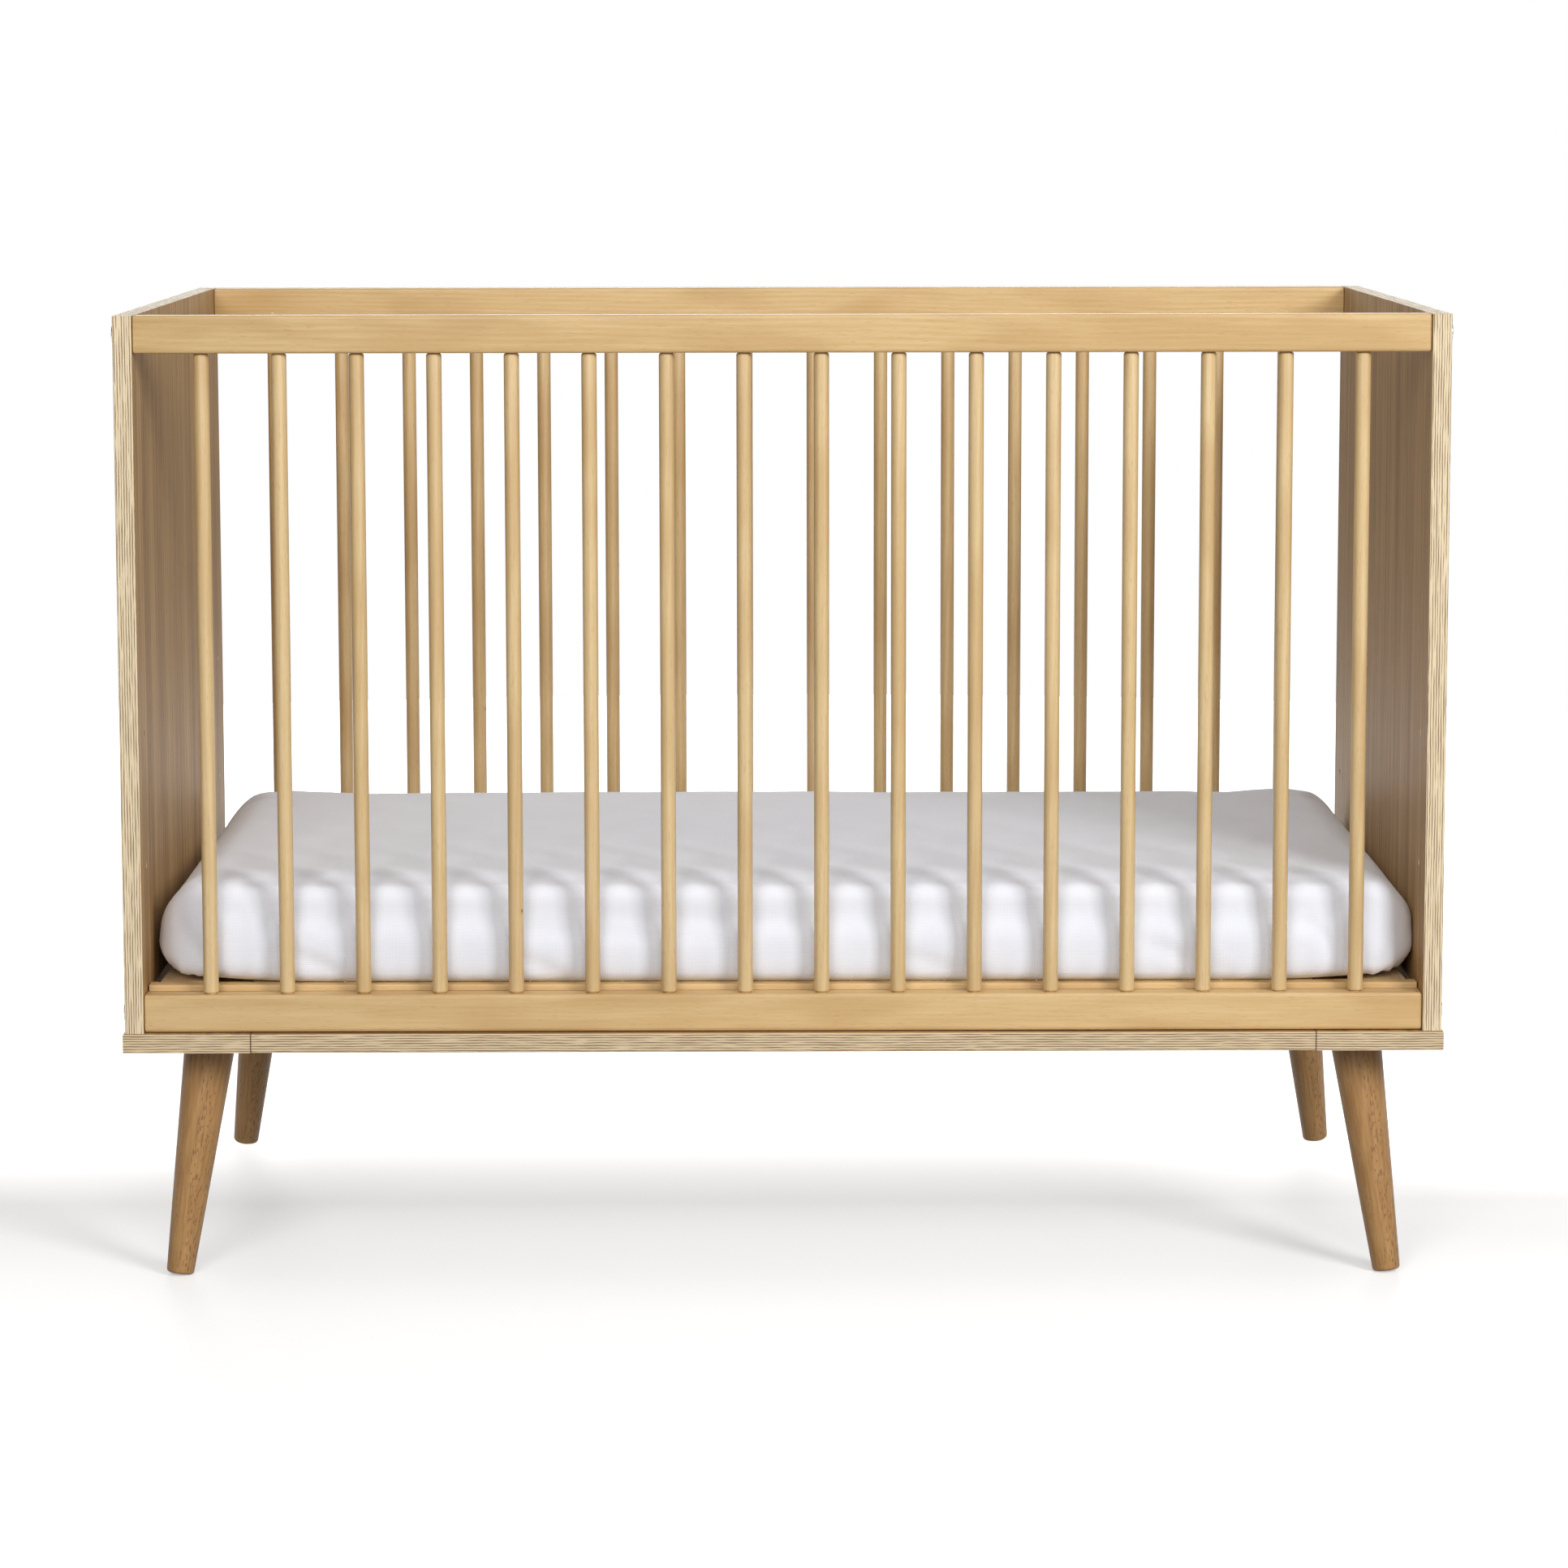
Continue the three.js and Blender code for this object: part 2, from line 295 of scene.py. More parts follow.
# %% Floor and its glow
def select_nothing():
    """Leaves edit mode with nothing selected, so that an operator acts only on what comes next."""
    if bpy.context.mode != "OBJECT":
        bpy.ops.object.mode_set(mode="OBJECT")
    bpy.ops.object.select_all(action="DESELECT")


def grey(value):
    return (value, value, value)


FLOOR_RADIUS = 4.0
GLOW_FRONT = 0.36
GLOW_MIDDLE = 0.29
GLOW_INNER = 0.52
GLOW_BEHIND = 0.86
GLOW_STARTS = 0.60          # beyond this distance the floor turns white all round
GLOW_WHITE = 1.15

select_nothing()
bpy.ops.mesh.primitive_circle_add(vertices=96, radius=FLOOR_RADIUS, fill_type="NGON")
floor = bpy.context.object
floor.name = "studio_floor"
paint = Finish("white_floor", Specular_IOR_Level=0.1, Emission_Strength=1.0, Base_Color=(0.9, 0.9, 0.9, 1))
x, y, z = paint.parts(paint.place())
depth_stops = (
    (0.36, grey(GLOW_FRONT)),
    (0.44, grey(GLOW_MIDDLE)),
    (0.50, grey(GLOW_MIDDLE)),
    (0.56, grey(GLOW_INNER)),
    (0.64, grey(GLOW_BEHIND)),
    (0.85, grey(1)),
)
near = paint.ramp(y * 0.5 + 0.5, *depth_stops)
far = paint.step((x * x + y * y).math("SQRT"), GLOW_STARTS, GLOW_WHITE)
paint.feed(paint.shader.inputs["Emission Color"], near.math("MAXIMUM", far))
floor.data.materials.append(paint.material)
floor.visible_diffuse = False
floor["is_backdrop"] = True
print("floor radius", FLOOR_RADIUS)

# %% [markdown]
# ## Oak boards
# The panels and base boards are oak-faced board. Their narrow edges carry an edge strip with short,
# wavy, dark pore lines that always run along the edge, and the broad faces have longer, calmer grain.
# An image would show its repeats, so the lines are noise stretched along the grain: each face looks
# up (along the grain, across it, through the board) according to the way it faces.


# %% Oak finish
def facing(finish, choices):
    """For faces that look along x, y and z, the place read as that choice of axes."""
    x, y, z = finish.parts(finish.place())
    axes = {"x": x, "y": y, "z": z}
    normal = finish.node("ShaderNodeNewGeometry", {}, {}, "True Normal")
    turned = [part.math("ABSOLUTE") > 0.6 for part in finish.parts(normal)]
    read = []
    for number in range(3):
        terms = [mask * axes[choice[number]] for mask, choice in zip(turned, choices)]
        read.append(terms[0] + terms[1] + terms[2])
    return read, turned


LINE_PITCH = 0.0024
seam_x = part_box("base_board_front")[1].x


def oak_finish(name, choices, broad_axis, strip_colour):
    """Board with edge strips, and a thin painted shadow where two base boards meet, for the shade in the
    narrow gap.

    choices are the (along, across, through) axes of x, y and z faces.
    """
    oak = Finish(name, Specular_IOR_Level=0.35)
    (along, across, through), turned = facing(oak, choices)
    broad = turned["xyz".index(broad_axis)]
    bend = oak.noise(oak.vector(along * 6, across * 30, through * 60), detail=1.0)
    sway = oak.noise(oak.vector(along * 90, across * 160, through * 60), detail=1.0)
    waved = across + (bend - 0.5) * 0.0026 + (sway - 0.5) * 0.0009
    ridge = (waved * (2 * math.pi / LINE_PITCH)).math("SINE") * 0.5 + 0.5
    breaks = oak.noise(oak.vector(along * 30, waved * 420, through * 60), detail=2.0)
    lines = oak.step(ridge * 0.55 + breaks * 0.8, 0.78, 0.94)
    long_pores = oak.noise(oak.vector(along * 9, across * 650, through * 90), detail=3.0)
    streaks = oak.noise(oak.vector(along * 1.1, across * 22, through * 40), detail=3.0)
    fine = oak.noise(oak.vector(along * 60, across * 1500, through * 200), detail=2.0)
    strip = oak.ramp(fine, (0.25, tuple(0.80 * v for v in strip_colour)), (0.75, strip_colour))
    broad_lines = oak.noise(oak.vector(along * 1.6, across * 120, through * 40), detail=2.0)
    veins = streaks * 0.35 + broad_lines * 0.65
    # Painted shade: the broad faces are coloured much darker than the oak of the edge strips, as if they
    # lay in shade, so they stay dark under any lamp.
    face = oak.ramp(veins, (0.34, (0.31, 0.173, 0.065)), (0.62, (0.53, 0.335, 0.145)))
    ground = oak.mix(broad, strip, face)
    toned = oak.mix(lines * (1 - broad) * 0.78, ground, (0.22, 0.112, 0.046))
    grain = oak.step(long_pores, 0.50, 0.70) * (0.18 + broad * 0.30)
    colour = oak.mix(grain, toned, (0.20, 0.12, 0.06))
    roughness = 0.5 + lines * 0.2 - fine * 0.1
    height = 1 - lines * (1 - broad) - grain
    x = oak.parts(oak.place())[0]
    # Painted shadow: a thin dark line where two base boards meet, for the shade in the narrow gap between
    # them.
    gap_shadow = 1 - oak.step((x.math("ABSOLUTE") - seam_x).math("ABSOLUTE"), 0.0003, 0.0012)
    return oak.finish(oak.mix(gap_shadow * 0.7, colour, (0.10, 0.06, 0.03)), roughness, height, 0.00035)


oak_panel = oak_finish("oak_panel", ("zyx", "zxy", "yxz"), "x", (0.93, 0.765, 0.51))
oak_long_board = oak_finish("oak_long_board", ("yzx", "xzy", "xyz"), "z", (0.80, 0.63, 0.40))
oak_end_board = oak_finish("oak_end_board", ("yzx", "xzy", "yxz"), "z", (0.80, 0.63, 0.40))


def dress(node, material):
    """Gives a frame piece that keeps its shape its real finish."""
    mesh = frame["nodes"][node].data
    mesh.materials.clear()
    mesh.materials.append(material)


for end in ("left", "right"):
    dress(f"end_panel_{end}", oak_panel)
    dress(f"base_board_{end}", oak_end_board)
for side in ("front", "back"):
    dress(f"base_board_{side}", oak_long_board)
print("oak boards dressed")

# %% [markdown]
# ## Beech rails and spindles
# The sides are a pale, honey-coloured wood with very fine grain, soft darker patches and a few pin
# knots. Real grain is the tree's rings cut by the piece's surface, so the rings are made in depth:
# distance from a heart that lies outside the piece, tilted a little, and shaken by noise. A rail and
# a spindle then show the same wood cut in different ways, and the grain wraps round every corner.
# The back spindles should look shaded, and these lamps light them too well. Their finish is therefore
# mixed darker, which is a trick of the picture: the real wood is most likely the same all round.


# %% Beech finish
def beech_finish(name, axis, pale, dark, heart):
    """Fine-grained wood whose grain runs along an axis. heart is the tree's centre across it."""
    beech = Finish(name, Specular_IOR_Level=0.45, Coat_Weight=0.18, Coat_Roughness=0.22)
    parts = beech.parts(beech.place())
    along = parts.pop("xyz".index(axis))
    wide, deep = parts
    flow = beech.noise(beech.vector(along * 2.2, wide * 9, deep * 9), detail=2.0)
    ringed = ((wide - heart[0]) * (wide - heart[0]) + (deep - heart[1]) * (deep - heart[1])).math("SQRT")
    ring = (ringed + along * 0.012 + flow * 0.022) * 1250
    bands = ring.math("SINE") * 0.5 + 0.5
    fibres = beech.noise(beech.vector(along * 16, wide * 420, deep * 420), detail=3.0)
    patches = beech.noise(beech.vector(along * 8, wide * 26, deep * 26), detail=1.0)
    flecks = beech.noise(beech.vector(along * 95, wide * 900, deep * 900), detail=0.0)
    tone = fibres * 0.45 + bands * 0.12 + flow * 0.25 + 0.08
    ground = beech.ramp(tone, (0.28, dark), (0.62, pale))
    shade = tuple(part * share for part, share in zip(dark, (0.80, 0.70, 0.58)))
    patched = beech.mix(beech.step(patches, 0.40, 0.68) * 0.42, ground, shade)
    flecked = beech.mix(beech.step(flecks, 0.66, 0.76) * 0.28, patched, shade)
    knot_place = beech.vector(along, wide + deep, 0.0)
    knot_inputs = {"Vector": knot_place, "Scale": 3.4}
    knots = beech.node("ShaderNodeTexVoronoi", {"voronoi_dimensions": "2D"}, knot_inputs)
    knot = 1 - beech.step(knots, 0.003, 0.0075)
    halo = 1 - beech.step(knots, 0.005, 0.022)
    haloed = beech.mix(halo * 0.35, flecked, shade)
    colour = beech.mix(knot * 0.8, haloed, (0.16, 0.075, 0.03))
    roughness = 0.36 + fibres * 0.12
    return beech.finish(colour, roughness, fibres * 0.6 + flow * 0.2, 0.00018)


rail_beech = beech_finish("rail_beech", "x", (0.72, 0.505, 0.242), (0.61, 0.395, 0.160), (0.07, 0.35))
spindle_beech = beech_finish("spindle_beech", "z", (0.76, 0.565, 0.30), (0.65, 0.445, 0.20), (0.9, 0.11))
# Painted shade: the back spindles' wood is mixed darker, so that they look shaded.
back_beech_painted_shade = beech_finish("back_beech_painted_shade", "z", (0.66, 0.47, 0.235), (0.54, 0.355, 0.155), (0.4, 0.27))
slat_beech = beech_finish("slat_beech", "y", (0.74, 0.56, 0.34), (0.62, 0.43, 0.23), (0.5, 0.21))
print("beech finishes:", rail_beech.name, spindle_beech.name, back_beech_painted_shade.name, slat_beech.name)

# %% [markdown]
# ## Working in edit mode
# Each new piece starts as a primitive, the way it would by hand, and is then shaped by picking faces
# or edges and running one operator on them. Picking by eye is not possible in a script, so the parts
# are picked by a test on their place or their direction.


# %% Starting, picking and finishing a piece
def claim(name):
    """Names the primitive that was just added, and moves its place into its mesh."""
    piece = bpy.context.object
    piece.name = name
    piece.data.name = name
    bpy.ops.object.transform_apply(location=True, rotation=True, scale=True)
    return piece


def add_block(name, low, high):
    select_nothing()
    bpy.ops.mesh.primitive_cube_add(size=1, location=(low + high) / 2)
    bpy.context.object.scale = high - low
    return claim(name)


def add_post(name, foot, radius, height, sides):
    """An upright round bar that stands on foot."""
    select_nothing()
    middle = foot + Vector((0, 0, height / 2))
    bpy.ops.mesh.primitive_cylinder_add(vertices=sides, radius=radius, depth=height, location=middle)
    return claim(name)


def pick(piece, kind, test):
    """Opens a piece in edit mode with only the faces, edges or points that pass the test selected."""
    select_nothing()
    piece.select_set(True)
    bpy.context.view_layer.objects.active = piece
    bpy.ops.object.mode_set(mode="EDIT")
    bpy.ops.mesh.select_mode(type=kind)
    bpy.ops.mesh.select_all(action="DESELECT")
    shape = bmesh.from_edit_mesh(piece.data)
    parts = {"FACE": shape.faces, "EDGE": shape.edges, "VERT": shape.verts}[kind]
    for part in parts:
        part.select_set(bool(test(part)))
    bmesh.update_edit_mesh(piece.data)


def apply_modifiers(piece):
    select_nothing()
    piece.select_set(True)
    bpy.context.view_layer.objects.active = piece
    for modifier in list(piece.modifiers):
        bpy.ops.object.modifier_apply(modifier=modifier.name)


def smooth(piece, degrees=35):
    select_nothing()
    piece.select_set(True)
    bpy.context.view_layer.objects.active = piece
    bpy.ops.object.shade_smooth_by_angle(angle=math.radians(degrees))


def cut_away(piece, cutters):
    """Takes the cutters' shapes out of a piece, and throws the cutters away."""
    for cutter in cutters:
        modifier = piece.modifiers.new("cut", "BOOLEAN")
        modifier.operation = "DIFFERENCE"
        modifier.object = cutter
    apply_modifiers(piece)
    for cutter in cutters:
        bpy.data.objects.remove(cutter)


def join(pieces, name):
    select_nothing()
    for piece in pieces:
        piece.select_set(True)
    bpy.context.view_layer.objects.active = pieces[0]
    bpy.ops.object.join()
    pieces[0].name = name
    return pieces[0]


def copy_moved(piece, name, shift):
    """A copy with its own mesh, moved inside that mesh."""
    twin = piece.copy()
    twin.data = piece.data.copy()
    twin.name = name
    twin.data.name = name
    twin.data.transform(Matrix.Translation(shift))
    bpy.context.scene.collection.objects.link(twin)
    return twin


def settle(piece, body, slot, material, *nodes):
    """The last step of every piece: its finish, the body it moves with, and the nodes it stands for."""
    piece.data.materials.clear()
    piece.data.materials.append(material)
    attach(piece, body)
    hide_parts(*nodes)


def centre(node):
    low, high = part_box(node)
    return (low + high) / 2


print("edit-mode helpers ready")

# %% [markdown]
# ## Rails
# A rail is a planed bar with eased arrises, a row of mortises for the spindles' tenons, and a bored
# hole in each end for its bolt. It is a block whose long edges are bevelled more than its ends, and
# the mortises are cut with a row of round cutters, as a boring machine would.

# %% Rails with mortises
SPINDLES = 16
TENON_RADIUS = 0.005
TENON_LENGTH = 0.014
MORTISE_PLAY = 0.0003
RAIL_ARRIS = 0.0028
END_ARRIS = 0.0014
BOLT_BORE = 0.0034
BORE_DEPTH = 0.036
SIDES = ("front", "back")
LEVELS = ("lower", "upper")
ENDS = ("left", "right")


def along_x(edge):
    return abs(edge.verts[0].co.x - edge.verts[1].co.x) > 0.1


def rail_cutters(side, level, low, high):
    """Sixteen upright mortise cutters and one level bolt bore for each end, a rail's own set."""
    face = high.z if level == "lower" else low.z
    depth = TENON_LENGTH + MORTISE_PLAY
    foot = face - depth if level == "lower" else face - depth * 0.5
    first = centre(f"{side}_spindle_01")
    start = Vector((first.x, first.y, foot))
    cutter = add_post("mortise", start, TENON_RADIUS + MORTISE_PLAY, depth * 1.5, 24)
    row = [cutter]
    for number in range(2, SPINDLES + 1):
        shift = centre(f"{side}_spindle_{number:02d}") - first
        row.append(copy_moved(cutter, "mortise", Vector((shift.x, 0, 0))))
    middle = (low + high) / 2
    for end_x, turn in ((low.x, 1), (high.x, -1)):
        bore = add_post("bore", Vector((0, 0, -BORE_DEPTH)), BOLT_BORE, 2 * BORE_DEPTH, 20)
        bore.data.transform(Matrix.Rotation(turn * math.pi / 2, 4, "Y"))
        bore.data.transform(Matrix.Translation((end_x, middle.y, middle.z)))
        row.append(bore)
    return join(row, "rail_cutters")


def make_rail(side, level):
    node = f"{side}_{level}_rail"
    low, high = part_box(node)
    rail = add_block(f"rail_{side}_{level}", low, high)
    pick(rail, "EDGE", along_x)
    bpy.ops.mesh.bevel(offset=RAIL_ARRIS, segments=5, affect="EDGES")
    pick(rail, "EDGE", lambda edge: all(abs(abs(v.co.x) - high.x) < 1e-4 for v in edge.verts))
    bpy.ops.mesh.bevel(offset=END_ARRIS, segments=2, affect="EDGES")
    cut_away(rail, [rail_cutters(side, level, low, high)])
    smooth(rail)
    settle(rail, "root", "beech", rail_beech, node)
    return rail


for side in SIDES:
    for level in LEVELS:
        rail = make_rail(side, level)
        print(rail.name, len(rail.data.polygons), "faces")

# %% [markdown]
# ## Spindles
# A spindle is a plain turned bar with softly rounded shoulders and a thin tenon at each end, which
# goes into the rails. One is modelled with care: a round bar, its end edges bevelled, and each end
# face inset and extruded into a tenon. The others are copies, because a lathe makes them all alike.

# %% One spindle and its copies
SHOULDER = 0.0021
TENON_CHAMFER = 0.0006


def make_spindle(side):
    low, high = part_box(f"{side}_spindle_01")
    radius = (high.x - low.x) / 2
    middle = (low + high) / 2
    foot = Vector((middle.x, middle.y, low.z + TENON_LENGTH))
    height = high.z - low.z - 2 * TENON_LENGTH
    spindle = add_post(f"spindle_{side}_01", foot, radius, height, 40)
    pick(spindle, "EDGE", lambda edge: abs(edge.verts[0].co.z - edge.verts[1].co.z) < 1e-5)
    bpy.ops.mesh.bevel(offset=SHOULDER, segments=4, affect="EDGES")
    for way in (-1, 1):
        pick(spindle, "FACE", lambda face: face.normal.z * way > 0.999)
        bpy.ops.mesh.inset(thickness=radius - SHOULDER - TENON_RADIUS)
        move = Vector((0, 0, way * TENON_LENGTH))
        bpy.ops.mesh.extrude_region_move(TRANSFORM_OT_translate={"value": move})
        bpy.ops.mesh.bevel(offset=TENON_CHAMFER, segments=1, affect="EDGES")
    smooth(spindle, 40)
    return spindle


for side, wood in (("front", spindle_beech), ("back", back_beech_painted_shade)):
    first = make_spindle(side)
    start = centre(f"{side}_spindle_01")
    for number in range(2, SPINDLES + 1):
        node = f"{side}_spindle_{number:02d}"
        twin = copy_moved(first, f"spindle_{side}_{number:02d}", centre(node) - start)
        settle(twin, "root", "beech", wood, node)
    settle(first, "root", "beech", wood, f"{side}_spindle_01")
    print(side, "spindles of", len(first.data.polygons), "faces")

# %% [markdown]
# ## Tenon pins
# The first and the last spindle of each side are locked in their mortises by a thin wooden pin, driven
# in from the inner face of the rail. Only the pin's end shows, as a small pale dot. Each is a short
# round bar with a slightly domed end, left a hair proud.

# %% Pins
PIN_RADIUS = 0.00175
PIN_LENGTH = 0.0125
PIN_PROUD = 0.0002
PIN_LIFT = 0.008            # from the rail's face that the spindle enters

pin_wood = beech_finish("pin_wood", "y", (0.86, 0.62, 0.38), (0.74, 0.48, 0.27), (0.3, 0.4))
for side in SIDES:
    inward = 1 if side == "front" else -1
    for level in LEVELS:
        low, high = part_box(f"{side}_{level}_rail")
        face_y = high.y if side == "front" else low.y
        pin_z = high.z - PIN_LIFT if level == "lower" else low.z + PIN_LIFT
        for number, end in ((1, "left"), (SPINDLES, "right")):
            pin = add_post("pin", Vector((0, 0, -PIN_LENGTH)), PIN_RADIUS, PIN_LENGTH + PIN_PROUD, 16)
            pick(pin, "FACE", lambda face: face.normal.z > 0.9)
            bpy.ops.mesh.inset(thickness=PIN_RADIUS * 0.5)
            bpy.ops.transform.translate(value=(0, 0, PIN_PROUD))
            select_nothing()
            pin.data.transform(Matrix.Rotation(-inward * math.pi / 2, 4, "X"))
            pin_x = centre(f"{side}_spindle_{number:02d}").x
            pin.data.transform(Matrix.Translation((pin_x, face_y, pin_z)))
            pin.name = f"pin_{side}_{level}_{end}"
            smooth(pin)
            settle(pin, "root", "beech", pin_wood)

# %% [markdown]
# ## Legs
# The legs are turned beech cones, thick at the top and splayed outwards, cut level where they meet the
# base boards and square to their own length at the foot. Each is modelled upright and then tipped, so
# its own upright coordinates are written into the mesh first: the grain then follows the leg, and not
# the room. Beech legs show their flecks, small dark dashes that crowd where the rays meet the surface.


# %% Leg finish
def leg_finish():
    beech = Finish("leg_beech", Specular_IOR_Level=0.4)
    turned = beech.node("ShaderNodeAttribute", {"attribute_name": "upright"}, {}, "Vector")
    wide, deep, along = beech.parts(turned)
    flow = beech.noise(beech.vector(wide * 12, deep * 12, along * 4), detail=2.0)
    ringed = ((wide - 0.021) * (wide - 0.021) + (deep - 0.034) * (deep - 0.034)).math("SQRT")
    ring = (ringed + flow * 0.010) * 1900
    bands = ring.math("SINE") * 0.5 + 0.5
    fibres = beech.noise(beech.vector(wide * 420, deep * 420, along * 22), detail=3.0)
    dashes = beech.noise(beech.vector(wide * 620, deep * 620, along * 190), detail=0.5)
    crowd = beech.noise(beech.vector(wide * 55, deep * 55, along * 7), detail=1.0)
    tone = fibres * 0.62 + bands * 0.08 + flow * 0.12
    ground = beech.ramp(tone, (0.28, (0.36, 0.182, 0.062)), (0.62, (0.53, 0.305, 0.117)))
    fleck = beech.step(dashes, 0.58, 0.68) * beech.step(crowd, 0.42, 0.60)
    colour = beech.mix(fleck * 0.75, ground, (0.22, 0.105, 0.042))
    return beech.finish(colour, 0.4 + fibres * 0.15, fibres * 0.5 - fleck * 0.5, 0.0002)


leg_beech = leg_finish()

# %% Leg shapes
LEG_SPLAY = math.radians(7.5)
LEG_TOP_RADIUS = 0.02475
LEG_FOOT_RADIUS = 0.013
FOOT_ROUNDING = 0.003
FOOT_SETTLE = 0.0013        # the tipped foot's middle stands this far off the floor
LEG_SPARE = 0.02            # length that is cut off level at the top
FLOOR_Z = frame_low.z


def top_centre(node):
    """The middle of the frame leg's level top face."""
    low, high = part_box(node)
    points = [v.co for v in frame["nodes"][node].data.vertices if v.co.z > high.z - 1e-4]
    xs = [p.x for p in points]
    ys = [p.y for p in points]
    return Vector(((min(xs) + max(xs)) / 2, (min(ys) + max(ys)) / 2, high.z))


def keep_upright_place(piece):
    """Writes each point's place, as it is now, into the mesh as an attribute."""
    store = piece.data.attributes.new("upright", "FLOAT_VECTOR", "POINT")
    for point, value in zip(piece.data.vertices, store.data):
        value.vector = point.co


def make_leg(side, end):
    node = f"leg_{side}_{end}"
    top = top_centre(node)
    out_x = math.copysign(math.tan(LEG_SPLAY), top.x)
    out_y = math.copysign(math.tan(LEG_SPLAY), top.y)
    up = Vector((-out_x, -out_y, 1))
    rise = top.z - FLOOR_Z - FOOT_SETTLE
    length = rise * up.length
    growth = (LEG_TOP_RADIUS - LEG_FOOT_RADIUS) / length
    full = length + LEG_SPARE
    wide = LEG_FOOT_RADIUS + growth * full
    select_nothing()
    bpy.ops.mesh.primitive_cone_add(
        vertices=64, radius1=LEG_FOOT_RADIUS, radius2=wide, depth=full, location=(0, 0, full / 2)
    )
    leg = claim(f"turned_leg_{side}_{end}")
    pick(leg, "EDGE", lambda edge: all(v.co.z < 1e-5 for v in edge.verts))
    bpy.ops.mesh.bevel(offset=FOOT_ROUNDING, segments=6, affect="EDGES")
    select_nothing()
    keep_upright_place(leg)
    tip = Vector((0, 0, 1)).rotation_difference(up.normalized()).to_matrix().to_4x4()
    foot = top - up * rise
    leg.data.transform(Matrix.Translation(foot) @ tip)
    pick(leg, "FACE", lambda face: True)
    bpy.ops.mesh.bisect(plane_co=top, plane_no=(0, 0, 1), use_fill=True, clear_outer=True)
    pick(leg, "FACE", lambda face: True)
    bpy.ops.mesh.bisect(plane_co=(0, 0, FLOOR_Z), plane_no=(0, 0, -1), use_fill=True, clear_outer=True)
    smooth(leg, 40)
    settle(leg, "root", "leg_beech", leg_beech, node)
    return leg


for side in SIDES:
    for end in ENDS:
        leg = make_leg(side, end)
        print(leg.name, len(leg.data.polygons), "faces")

# %% [markdown]
# ## Bolts
# Flat-headed furniture bolts come through the end panels into the rails, and four shorter ones carry
# the mattress base. The head is a wide disc with a rounded rim and a six-sided socket for the key. It
# is a round bar whose back face is inset and extruded into the shank, and the socket is cut.


# %% Steel finish
def steel_finish():
    steel = Finish("zinc_steel", Metallic=1.0)
    place = steel.place()
    cloud = steel.noise(place, scale=180, detail=3.0)
    x, y, z = steel.parts(place)
    lathe = steel.noise(steel.vector(x * 3000, y * 300, z * 300), detail=1.0)
    colour = steel.ramp(cloud, (0.3, (0.46, 0.46, 0.47)), (0.7, (0.64, 0.64, 0.63)))
    return steel.finish(colour, 0.24 + cloud * 0.2, lathe * 0.5 + cloud * 0.5, 0.00008)


zinc_steel = steel_finish()

# %% Bolt shapes
BOLT_RADIUS = 0.003
HEAD_HEIGHT = 0.0016
SOCKET_RADIUS = 0.0023
SOCKET_DEPTH = 0.0022


def make_bolt(node, name):
    low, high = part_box(node)
    outward = math.copysign(1, (low + high).x)
    head_radius = (high.y - low.y) / 2
    shank = high.x - low.x - HEAD_HEIGHT
    bolt = add_post(name, Vector((0, 0, 0)), head_radius, HEAD_HEIGHT, 48)
    pick(bolt, "EDGE", lambda edge: all(v.co.z > HEAD_HEIGHT * 0.9 for v in edge.verts))
    bpy.ops.mesh.bevel(offset=HEAD_HEIGHT * 0.5, segments=3, affect="EDGES")
    pick(bolt, "FACE", lambda face: face.normal.z < -0.9)
    bpy.ops.mesh.inset(thickness=head_radius - BOLT_RADIUS)
    bpy.ops.mesh.extrude_region_move(TRANSFORM_OT_translate={"value": (0, 0, -shank)})
    bpy.ops.mesh.bevel(offset=BOLT_RADIUS * 0.3, segments=1, affect="EDGES")
    socket_foot = Vector((0, 0, HEAD_HEIGHT - SOCKET_DEPTH))
    socket = add_post("socket", socket_foot, SOCKET_RADIUS, SOCKET_DEPTH * 2, 6)
    cut_away(bolt, [socket])
    outer_x = high.x if outward > 0 else low.x
    middle = (low + high) / 2
    bolt.data.transform(Matrix.Rotation(outward * math.pi / 2, 4, "Y"))
    seat = outer_x - outward * HEAD_HEIGHT
    bolt.data.transform(Matrix.Translation((seat, middle.y, middle.z)))
    smooth(bolt)
    settle(bolt, "root", "steel", zinc_steel, node)


for side in SIDES:
    for end in ENDS:
        make_bolt(f"support_bolt_{side}_{end}", f"hook_bolt_{side}_{end}")
        for level in LEVELS:
            make_bolt(f"{side}_{level}_bolt_{end}", f"bolt_{side}_{level}_{end}")
bolts = [o for o in bpy.data.objects if "bolt_" in o.name and o.data.materials[0] == zinc_steel]
print("bolts", len(bolts))

# %% [markdown]
# ## Mattress base
# Two long rails carry fourteen slats. Each slat end is let into a shallow housing in a rail's top, so
# slats and rails finish level, and the rails' ends have slots that are open below, which drop over the
# support bolts. The rail is a block that is bevelled and then cut by a row of housing and slot blocks.

# %% Base rails and slats
SLATS = 14
SLAT_WIDTH = 0.042
SLAT_THICKNESS = 0.010
SLAT_END_INSET = 0.0075
BASE_RAIL_THICKNESS = 0.018
HOUSING = 0.005
HOUSING_PLAY = 0.0002
HOOK_WIDTH = 0.007
HOOK_DEPTH = 0.016
CUT_SPARE = 0.004
BASE_RAIL_ARRIS = 0.0015
SLAT_ARRIS = 0.0022

base_low, base_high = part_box("mattress_base")
slat_run = base_high.x - base_low.x - 2 * SLAT_END_INSET - SLAT_WIDTH
slat_pitch = slat_run / (SLATS - 1)
slat_starts = [base_low.x + SLAT_END_INSET + slat_pitch * number for number in range(SLATS)]


